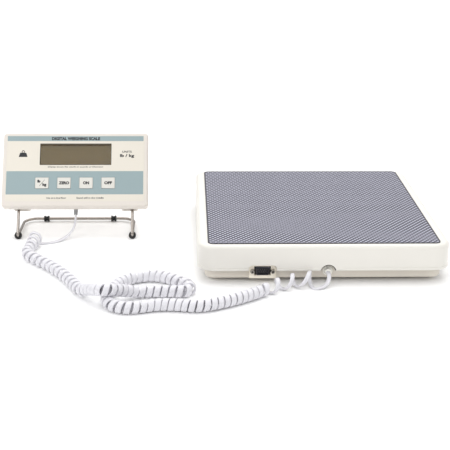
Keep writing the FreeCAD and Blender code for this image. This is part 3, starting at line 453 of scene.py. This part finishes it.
def curly_stretch():
    """The helix as (centre, outward, width) places: it starts and ends at the bottom of a turn."""
    axis = smooth_line(COIL_ROUTE)
    reach = measured(axis)
    table = np.array(axis)
    line = []
    travelled = 0.0
    step = 0
    while travelled < COIL_END or step % TURN_STEPS:
        here = Vector([np.interp(travelled, reach, table[:, i]) for i in range(3)])
        ahead = Vector([np.interp(travelled + 6, reach, table[:, i]) for i in range(3)])
        behind = Vector([np.interp(max(travelled - 6, 0), reach, table[:, i]) for i in range(3)])
        forward = (ahead - behind).normalized()
        side = forward.cross(Vector((0, 0, 1))).normalized()
        top = side.cross(forward)
        outer = at_distance(TURN_RADIUS, travelled)
        wander = noise.noise(Vector((travelled * 0.05, 3.1, 0)))
        angle = 2 * math.pi * step / TURN_STEPS - math.pi / 2
        outward = math.cos(angle) * side + math.sin(angle) * top
        radius = outer - CORD_THICK / 2 + 0.12 * wander
        lean = at_distance(TURN_LEAN, travelled) * radius * (math.sin(angle) + 1)
        centre = here + Vector((0, 0, outer - COIL_OUTER)) + radius * outward + lean * forward
        line.append((centre, outward, at_distance(STRIP_WIDTH, travelled)))
        step += 1
        travelled += at_distance(TURN_ADVANCE, travelled) * (1 + 0.16 * wander) / TURN_STEPS
    return line


def resting(point, exit_height):
    """Drop a route point so that the flat cord, thinner than its solid, lies on the floor."""
    x, y, z = point
    return (x, y, z - 1.9 * (1 - z / exit_height))


def flat_cord():
    """The whole cord as one flat oval strip: lead, curly stretch and tail."""
    gland = HEAD_MM @ Vector((0, -GLAND_NOSE, -GLAND_DEEP))
    below = HEAD_MM @ Vector((0, -GLAND_NOSE - 9, -GLAND_DEEP))
    helix = curly_stretch()
    first, second = helix[0][0], helix[1][0]
    run_in = first + (first - second).normalized() * 6
    lead = smooth_line([gland, below] + [resting(p, gland.z) for p in LEAD_ROUTE[:-1]] + [run_in, first])
    last, previous = helix[-1][0], helix[-2][0]
    run_out = last + (last - previous).normalized() * 8
    inside = (OUTLET.x, OUTLET.y - 3, OUTLET.z)
    tail = smooth_line([last, run_out] + TAIL_ROUTE + [inside])

    edge_on = Vector((1, 0, 0))
    down = Vector((0, 0, -1))
    strip = []
    for point in lead[:-1]:
        share = min(1, max(0, (12 - point.z) / 8.5))
        strip.append((point, (edge_on * (1 - share) + down * share).normalized(), LOOSE_WIDE))
    strip += helix
    strip += [(point, down, LOOSE_WIDE) for point in tail[1:]]
    return thinned(strip)


def thinned(strip, nearest=0.7):
    """Leave out points closer together than the strip needs."""
    kept = [strip[0]]
    for place in strip[1:]:
        if (place[0] - kept[-1][0]).length > nearest:
            kept.append(place)
    return kept


def strip_mesh(strip):
    """A flat oval section carried along a strip of (centre, outward, width) places."""
    half = CORD_THICK / 2
    section = []
    for end, start in ((1, -90), (-1, 90)):
        for step in range(6):
            angle = math.radians(start + 180 * step / 5)
            section.append((end, half * math.cos(angle), half * math.sin(angle)))
    shape = bmesh.new()
    rings = []
    for number, (centre, outward, width) in enumerate(strip):
        before = strip[max(number - 1, 0)][0]
        after = strip[min(number + 1, len(strip) - 1)][0]
        forward = (after - before).normalized()
        wide = forward.cross(outward).normalized()
        thick = wide.cross(forward)
        flat = width / 2 - half
        ring = [centre + wide * (end * flat + w) + thick * t for end, w, t in section]
        rings.append([shape.verts.new((x * MM, y * MM, max(z, 0.05) * MM)) for x, y, z in ring])
    count = len(section)
    for lower, upper in zip(rings, rings[1:]):
        for step in range(count):
            after = (step + 1) % count
            shape.faces.new((lower[step], lower[after], upper[after], upper[step]))
    shape.faces.new(rings[0])
    shape.faces.new(rings[-1])
    return shape


def lay_cord():
    strip = flat_cord()
    cord = from_bmesh("curly_cord", strip_mesh(strip), Matrix.Identity(4), "base",
                      FINISH["cord_white"], smooth=60)
    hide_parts("cord_lead", "cord_coil", "cord_tail")


# ---------------------------------------------------------------- platform

def inside_outline(x, y):
    """Bring a point of the mat inside its rounded outline; also its distance to the edge."""
    half_w, half_d = MAT_W / 2, MAT_D / 2
    x = max(-half_w, min(half_w, x))
    y = max(-half_d, min(half_d, y))
    over_x = abs(x) - (half_w - MAT_CORNER)
    over_y = abs(y) - (half_d - MAT_CORNER)
    margin = min(half_w - abs(x), half_d - abs(y))
    if over_x > 0 and over_y > 0:
        reach = math.hypot(over_x, over_y)
        margin = MAT_CORNER - reach
        if margin < 0:
            shrink = MAT_CORNER / reach
            x = math.copysign(half_w - MAT_CORNER + over_x * shrink, x)
            y = math.copysign(half_d - MAT_CORNER + over_y * shrink, y)
            margin = 0
    return x, y, margin


def pitted_mat():
    """Staggered oval pits in a raised net, flat towards the edge of the mat."""
    shape = bmesh.new()
    corners = {}

    def corner(x, y, z):
        x, y, margin = inside_outline(x, y)
        if margin < 0.6:
            z = MAT_TOP
        if margin < 0.3:
            z = MAT_TOP - 0.3
        key = (round(x, 2), round(y, 2), round(z, 2))
        if key not in corners:
            corners[key] = shape.verts.new((x, y, z))
        return corners[key]

    def patch(points):
        ring = []
        for point in points:
            if point not in ring:
                ring.append(point)
        if len(ring) > 2:
            shape.faces.new(ring)

    rows = round(MAT_D / PIT_ALONG)
    along_row = MAT_D / rows
    columns = round(MAT_W / PIT_ACROSS)
    across_row = MAT_W / columns
    for row in range(rows):
        middle_y = -MAT_D / 2 + (row + 0.5) * along_row
        shift = 0.5 * (row % 2)
        for column in range(columns + row % 2):
            middle_x = -MAT_W / 2 + (column + 0.5 - shift) * across_row
            place = [(-0.5, -0.5), (0, -0.5), (0.5, -0.5), (0.5, 0.5), (0, 0.5), (-0.5, 0.5)]
            cell = [corner(middle_x + u * across_row, middle_y + v * along_row, MAT_TOP) for u, v in place]
            rim, floor = [[corner(middle_x + wide * across_row * math.cos(a),
                                  middle_y + deep * along_row * math.sin(a), MAT_TOP - down)
                           for a in (math.atan2(v, u) for u, v in place)]
                          for wide, deep, down in ((0.45, 0.43, 0.1), (0.39, 0.37, PIT_DEPTH))]
            for side in range(6):
                after = (side + 1) % 6
                patch((cell[side], cell[after], rim[after], rim[side]))
                patch((rim[side], rim[after], floor[after], floor[side]))
            patch(floor)
    edge = [e for e in shape.edges if len(e.link_faces) == 1]
    skirt = bmesh.ops.extrude_edge_only(shape, edges=edge)["geom"]
    for vertex in skirt:
        if isinstance(vertex, bmesh.types.BMVert):
            vertex.co.z = MAT_BOTTOM
    mat = from_bmesh("pitted_mat", shape, PLATFORM, "platform_top", FINISH["mat_rubber"],
                     smooth=75)
    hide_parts("platform_mat")


def mat_edge_painted_shade():
    """The smooth dark ring round the pitted part of the mat, painted as the shade along the mat's edge."""
    edges = []
    for inset, radius in ((0.05, MAT_CORNER), (MAT_EDGE_SHADE, MAT_CORNER - 1)):
        half_w, half_d = MAT_W / 2 - inset, MAT_D / 2 - inset
        edges.append(rounded_outline(-half_w, half_w, -half_d, half_d, radius, steps=10))
    from_mesh("mat_edge_painted_shade", flat_shape(edges, 0.1, MAT_TOP - 0.1), PLATFORM, "platform_top",
              FINISH["border_rubber"], smooth=0)


def outlet_painted_shade():
    """A dark sheet, in the rubber finish, painted as the shade inside the cover's arched notch over the cord
    outlet.
    """
    arc = [math.radians(12 + step * 6.5) for step in range(25)]
    outline = [(NOTCH_OUTER * math.cos(a), NOTCH_OUTER * math.sin(a)) for a in arc]
    outline += [(NOTCH_INNER * math.cos(a), NOTCH_INNER * math.sin(a)) for a in reversed(arc)]
    place = PLATFORM @ along("-y", OUTLET.x - PLATFORM_X, NOTCH_Y, OUTLET.z + 0.4)
    from_mesh("outlet_painted_shade", flat_shape([outline], 0.8), place, "platform_top", FINISH["rubber"], smooth=0)


# ---------------------------------------------------------------- display head

def printed_overlay():
    """Two tinted bands and the print between them."""
    key_holes = [rounded_outline(x - KEY_W / 2 - 0.3, x + KEY_W / 2 + 0.3, KEY_Y - KEY_L / 2 - 0.3,
                                 KEY_Y + KEY_L / 2 + 0.3, 1.3) for x in key_centres()]
    bands = [("key_band", [rounded_outline(BAND_LEFT, BAND_RIGHT, 17.9, 50.9, 0.5)] + key_holes),
             ("title_band", [rounded_outline(BAND_LEFT, BAND_RIGHT, 94.1, 101.3, 0.5)])]
    for name, outlines in bands:
        from_mesh(name, flat_shape(outlines, INK), HEAD, "display_head", FINISH["band_tint"],
                  smooth=0)
    ink = FINISH["dark_ink"]
    words = [
        ("title_words", "DIGITAL WEIGHING SCALE", -33, 33, 95.3, 99.9, 0.055, INK),
        ("unit_words", "UNITS", 63.5, 76.5, 77.2, 80.2, 0.02, 0),
        ("unit_marks", "lb / kg", 60.5, 80, 69.8, 75.4, 0.04, 0),
        ("window_words", "Display shows the weight in pounds or kilograms", -37.5, 37.5, 55.5, 58, 0.02, 0),
        ("floor_words", "Use on a level floor", -38.1, -11.6, 11.7, 14.2, 0.02, 0),
        ("step_words", "Stand still in the middle", 2.4, 39.2, 11.7, 14.2, 0.02, 0),
    ]
    for name, text, left, right, low, high, weight, height in words:
        lettering(name, text, left, right, low, high, height, HEAD, "display_head", ink, weight)
    weight_sign(-71.6, 71.2)


def weight_sign(middle, low):
    """A plain kettle-weight sign beside the window."""
    body = [(middle - 6, low), (middle + 6, low), (middle + 4.2, low + 6), (middle - 4.2, low + 6)]
    ring = [[(middle + r * math.cos(a), low + 7.4 + r * math.sin(a))
             for a in (2 * math.pi * step / 28 for step in range(28))] for r in (2.1, 1.2)]
    for name, outlines in (("weight_sign_body", [body]), ("weight_sign_ring", ring)):
        from_mesh(name, flat_shape(outlines, INK), HEAD, "display_head", FINISH["dark_ink"], smooth=0)


def key_centres():
    return [step * KEY_PITCH for step in (-1.5, -0.5, 0.5, 1.5)]


def key_legends():
    ink = FINISH["dark_ink"]
    unit, zero, on, off = key_centres()
    words = [("legend_lb", "lb", unit - 6, unit - 1.9, KEY_Y + 0.4, KEY_Y + 4.4, "key_unit"),
             ("legend_kg", "kg", unit + 0.9, unit + 6.4, KEY_Y - 5.4, KEY_Y - 0.3, "key_unit"),
             ("legend_zero", "ZERO", zero - 7, zero + 7, KEY_Y - 2.2, KEY_Y + 2.2, "key_zero"),
             ("legend_on", "ON", on - 4.2, on + 4.2, KEY_Y - 2.2, KEY_Y + 2.2, "key_on"),
             ("legend_off", "OFF", off - 5.3, off + 5.3, KEY_Y - 2.2, KEY_Y + 2.2, "key_off")]
    for name, text, left, right, low, high, body in words:
        lettering(name, text, left, right, low, high, KEY_PROUD, HEAD, body, ink, weight=0.06)
    slash = [(unit - 3.6, KEY_Y - 4.4), (unit - 3.1, KEY_Y - 4.4), (unit + 4.1, KEY_Y + 4.4),
             (unit + 3.6, KEY_Y + 4.4)]
    from_mesh("legend_slash", flat_shape([slash], INK, KEY_PROUD), HEAD, "key_unit", ink, smooth=0)


def display_glass():
    """The dark liquid-crystal cell behind the lens, and the dark line printed round it; the line is widened
    along the top as painted shade under the window's top edge.
    """
    left, right, low, high = WINDOW
    # painted shade: the band along the top is wider than the printed line, for the shade under the window's
    # top edge
    line = [rounded_outline(left - 0.5, right + 0.5, low - 0.5, high + 0.6, 0.5, steps=2),
            rounded_outline(left + 0.3, right - 0.3, low + 0.2, high - 1.7, 0.2, steps=2)]
    from_mesh("window_line_and_shade", flat_shape(line, INK), HEAD, "display_head", FINISH["window_ink"],
              smooth=0)
    cell = rounded_outline(left + 0.3, right - 0.3, low + 0.3, high - 0.3, 0.3, steps=2)
    from_mesh("crystal_cell", flat_shape([cell], 0.4, -2.8), HEAD, "display_head", FINISH["crystal"],
              smooth=0)


def shell_seam():
    """The shadow line where the two shells meet."""
    thick = 0.3
    line = [rounded_outline(-HEAD_W / 2 + inset, HEAD_W / 2 - inset, inset, HEAD_L - inset, radius, steps=8)
            for inset, radius in ((-0.03, HEAD_CORNER), (1, HEAD_CORNER - 1))]
    from_mesh("shell_seam", flat_shape(line, thick, -SPLIT_DEEP - thick / 2), HEAD, "display_head",
              FINISH["seam_shade"], smooth=0)


def cord_gland():
    """Ribbed grey gland that the lead comes out of."""
    profile = [(1.6, -6), (2.3, -6)]
    for rib in range(3):
        low = -5.6 + 1.7 * rib
        profile += [(2.35 + 0.12 * rib, low), (2.55 + 0.12 * rib, low + 0.2), (2.55 + 0.12 * rib, low + 1.0),
                    (2.35 + 0.12 * rib, low + 1.2)]
    profile += [(2.8, -0.4), (2.8, 14.4), (4.2, 14.4), (4.2, 15.8), (1.6, 15.8), (1.6, -6)]
    gland = turned("cord_gland", profile, HEAD @ along("y", 0, 0, -GLAND_DEEP), "display_head",
                   FINISH["gland_grey"])
    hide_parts("head_gland")


# ---------------------------------------------------------------- stand

def bent_line(points, radii, steps=10):
    """Straight runs joined by arcs, as points."""
    line = [points[0]]
    for before, corner, after, radius in zip(points, points[1:], points[2:], radii):
        inward = (before - corner).normalized()
        onward = (after - corner).normalized()
        half_turn = (math.pi - inward.angle(onward)) / 2
        back = radius * math.tan(half_turn)
        centre = corner + (inward + onward).normalized() * radius / math.cos(half_turn)
        entry = corner + inward * back - centre
        normal = inward.cross(onward).normalized()
        for step in range(steps + 1):
            turn = Matrix.Rotation(-2 * half_turn * step / steps, 3, normal)
            line.append(centre + turn @ entry)
    return line + [points[-1]]


def stand_wire():
    """One polished wire: pivot, leg, base run and rear bar, and back to the other pivot."""
    pivot = HEAD_MM @ Vector((0, PIVOT_Y, -PIVOT_DEEP))
    right = [Vector((66.6, pivot.y, pivot.z)), Vector((STAND_HALF, pivot.y, pivot.z)),
             Vector((STAND_HALF, STAND_FRONT, RING / 2)), Vector((STAND_HALF, STAND_BACK, GROMMET / 2))]
    left = [Vector((-p.x, p.y, p.z)) for p in reversed(right)]
    curve = bpy.data.curves.new("wire", "CURVE")
    curve.dimensions = "3D"
    curve.bevel_depth = WIRE / 2
    curve.bevel_resolution = 6
    curve.use_fill_caps = True
    line = bent_line(right + left, [3, 2.5, 18, 18, 2.5, 3])
    spline = curve.splines.new("POLY")
    spline.points.add(len(line) - 1)
    for control, point in zip(spline.points, line):
        control.co = (*point, 1)
    wire = from_mesh("stand_wire", as_mesh(curve), STAND, "base", FINISH["chrome"], smooth=50)
    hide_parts("wire_stand")


def stand_rubbers():
    """Ring feet at the front corners and waisted grommets on the rear bar."""
    half = GROMMET / 2
    near = STAND_FRONT + 2.6
    for side, word in ((-1, "left"), (1, "right")):
        ring = turned("ring_foot_" + word, ring_profile(WIRE / 2, RING / 2, near, near + RING_LENGTH, 0.7),
                      STAND @ along("y", side * STAND_HALF, 0, RING / 2), "base",
                      FINISH["rubber"])
        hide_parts("stand_foot_" + word)
        waist = WIRE / 2 + 0.9
        profile = [(WIRE / 2, -3.6), (half - 0.3, -3.6), (half, -3.3), (half, -2.6), (half - 0.2, -2.4),
                   (waist + 0.5, -0.7), (waist, 0), (waist + 0.5, 0.7), (half - 0.2, 2.4), (half, 2.6),
                   (half, 3.3), (half - 0.3, 3.6), (WIRE / 2, 3.6), (WIRE / 2, -3.6)]
        grommet = turned("waisted_grommet_" + word, profile,
                         STAND @ along("x", side * GROMMET_HALF, STAND_BACK, half), "base",
                         FINISH["rubber"])
        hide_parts("bar_grommet_" + word)


# ---------------------------------------------------------------- finishes for the frame's own parts

def make_finishes():
    made = {
        "cover_plastic": finish("cover_plastic", tone(228, 225, 218), 0.38, mottle=0.015, depth=0.03),
        "tray_plastic": finish("tray_plastic", tone(224, 217, 205), 0.5, mottle=0.02, depth=0.05),
        # painted light: the bezel is a lighter copy of the base plastic, standing in for the light its front
        # face catches
        "bezel_plastic": finish("bezel_plastic", tone(246, 238, 222), 0.42, mottle=0.02),
        "head_plastic": finish("head_plastic", tone(220, 213, 205), 0.42, mottle=0.015, depth=0.04),
        "mat_rubber": mat_rubber(),
        "steel_plate": finish("steel_plate", tone(176, 178, 182), 0.42, metallic=1, grain=700, depth=0.02),
        "cast_alloy": finish("cast_alloy", tone(160, 162, 166), 0.55, metallic=1, grain=1200, depth=0.05),
        "cell_steel": finish("cell_steel", tone(188, 190, 194), 0.32, metallic=1, grain=900),
        "screw_steel": finish("screw_steel", tone(190, 188, 180), 0.3, metallic=1, grain=1800),
        "rubber": finish("rubber", tone(24, 24, 25), 0.6, mottle=0.2, smudge=0.25, grain=3000, depth=0.03),
        # painted shade: the dark colour of the ring round the mat's edge
        "border_rubber": finish("border_rubber", tone(66, 64, 72), 0.6, mottle=0.1, grain=2600),
        "foot_rubber": finish("foot_rubber", tone(40, 40, 42), 0.7, mottle=0.15, grain=2500, depth=0.05),
        # painted shade: the connector shell is a dark grey that stands in for the shade inside the port's
        # recess
        "port_metal": finish("port_metal", tone(84, 82, 86), 0.34, metallic=1, grain=1500),
        "jack_metal": finish("jack_metal", tone(176, 172, 164), 0.3, metallic=1, grain=1500),
        "port_black": finish("port_black", tone(7, 9, 20), 0.4, mottle=0.1, grain=2500),
        "contact_gold": finish("contact_gold", tone(92, 88, 88), 0.4, metallic=1, grain=2000),
        "bushing_white": finish("bushing_white", tone(252, 250, 242), 0.45, mottle=0.02),
        "cord_white": finish("cord_white", tone(219, 218, 223), 0.36, mottle=0.02, smudge=0.2, patch=9,
                             grain=2200, depth=0.02, coat=0.15),
        # painted reflection: the broad mottle along the wire stands in for the light and dark it mirrors
        "chrome": finish("chrome", tone(168, 161, 155), 0.12, metallic=1, mottle=0.05, smudge=0.1, patch=60,
                         grain=900, depth=0.004),
        "overlay_print": finish("overlay_print", tone(222, 216, 204), 0.42, mottle=0.01, grain=3500,
                                depth=0.01),
        "band_tint": finish("band_tint", tone(146, 164, 167), 0.42, mottle=0.02, grain=3500, depth=0.01),
        "key_white": finish("key_white", tone(216, 214, 207), 0.4, mottle=0.02, grain=3500, depth=0.01),
        # the printed line round the window, whose wide top band is painted shade
        "window_ink": finish("window_ink", tone(72, 62, 44), 0.4, mottle=0.04),
        "dark_ink": finish("dark_ink", tone(28, 30, 34), 0.5, mottle=0.1),
        "crystal": finish("crystal", tone(107, 85, 42), 0.3, mottle=0.03, grain=900, depth=0.002, coat=0.4),
        "lcd_grey": finish("lcd_grey", tone(96, 92, 80), 0.4, mottle=0.05),
        "lens_clear": finish("lens_clear", tone(250, 246, 224), 0.05, mottle=0.0, smudge=0.05,
                             transmission=1),
        "board_green": finish("board_green", tone(28, 92, 54), 0.38, mottle=0.12, patch=90, grain=1200,
                              coat=0.3),
        "chip_black": finish("chip_black", tone(26, 26, 28), 0.5, mottle=0.15),
        "spacer_nylon": finish("spacer_nylon", tone(226, 224, 214), 0.5),
        "wire_skin": finish("wire_skin", tone(176, 40, 36), 0.42, mottle=0.1),
        "cell_jacket": finish("cell_jacket", tone(42, 44, 50), 0.3, mottle=0.1, coat=0.4),
        "spring_metal": finish("spring_metal", tone(196, 194, 186), 0.28, metallic=1),
        "gland_grey": finish("gland_grey", tone(150, 152, 154), 0.5, mottle=0.05),
        "clip_plastic": finish("clip_plastic", tone(206, 199, 190), 0.45, mottle=0.03),
        "seam_shade": finish("seam_shade", tone(120, 116, 108), 0.7, mottle=0.1),
        "stage_floor": finish("stage_floor", tone(254, 254, 254), 0.7, mottle=0.0, smudge=0.0, depth=0.0),
    }
    made["stand_chrome"] = made["chrome"]
    made["stand_rubber"] = made["rubber"]
    return made


def dress_frame():
    """Each carried-over part takes the finish of its own material slot in the record."""
    slots = {part["node"]: part["material_slot"] for part in frame["record"]["subparts"]}
    for name, part in NODES.items():
        chosen = FINISH.get(slots.get(name, ""), FINISH["clip_plastic"])
        part.data.materials.clear()
        part.data.materials.append(chosen)
        if name not in slots:
            print("no slot for", name)


def lay_floor():
    mesh = bpy.data.meshes.new("stage_floor")
    mesh.from_pydata([(-40, -40, 0), (40, -40, 0), (40, 40, 0), (-40, 40, 0)], [], [(0, 1, 2, 3)])
    floor = bpy.data.objects.new("stage_floor", mesh)
    floor.data.materials.append(FINISH["stage_floor"])
    bpy.context.scene.collection.objects.link(floor)


SURFACE = moulded_surface()
FINISH = make_finishes()

aim_camera()
light_studio()
lay_floor()
dress_frame()
lay_cord()
pitted_mat()
mat_edge_painted_shade()
outlet_painted_shade()
printed_overlay()
key_legends()
display_glass()
shell_seam()
cord_gland()
stand_wire()
stand_rubbers()
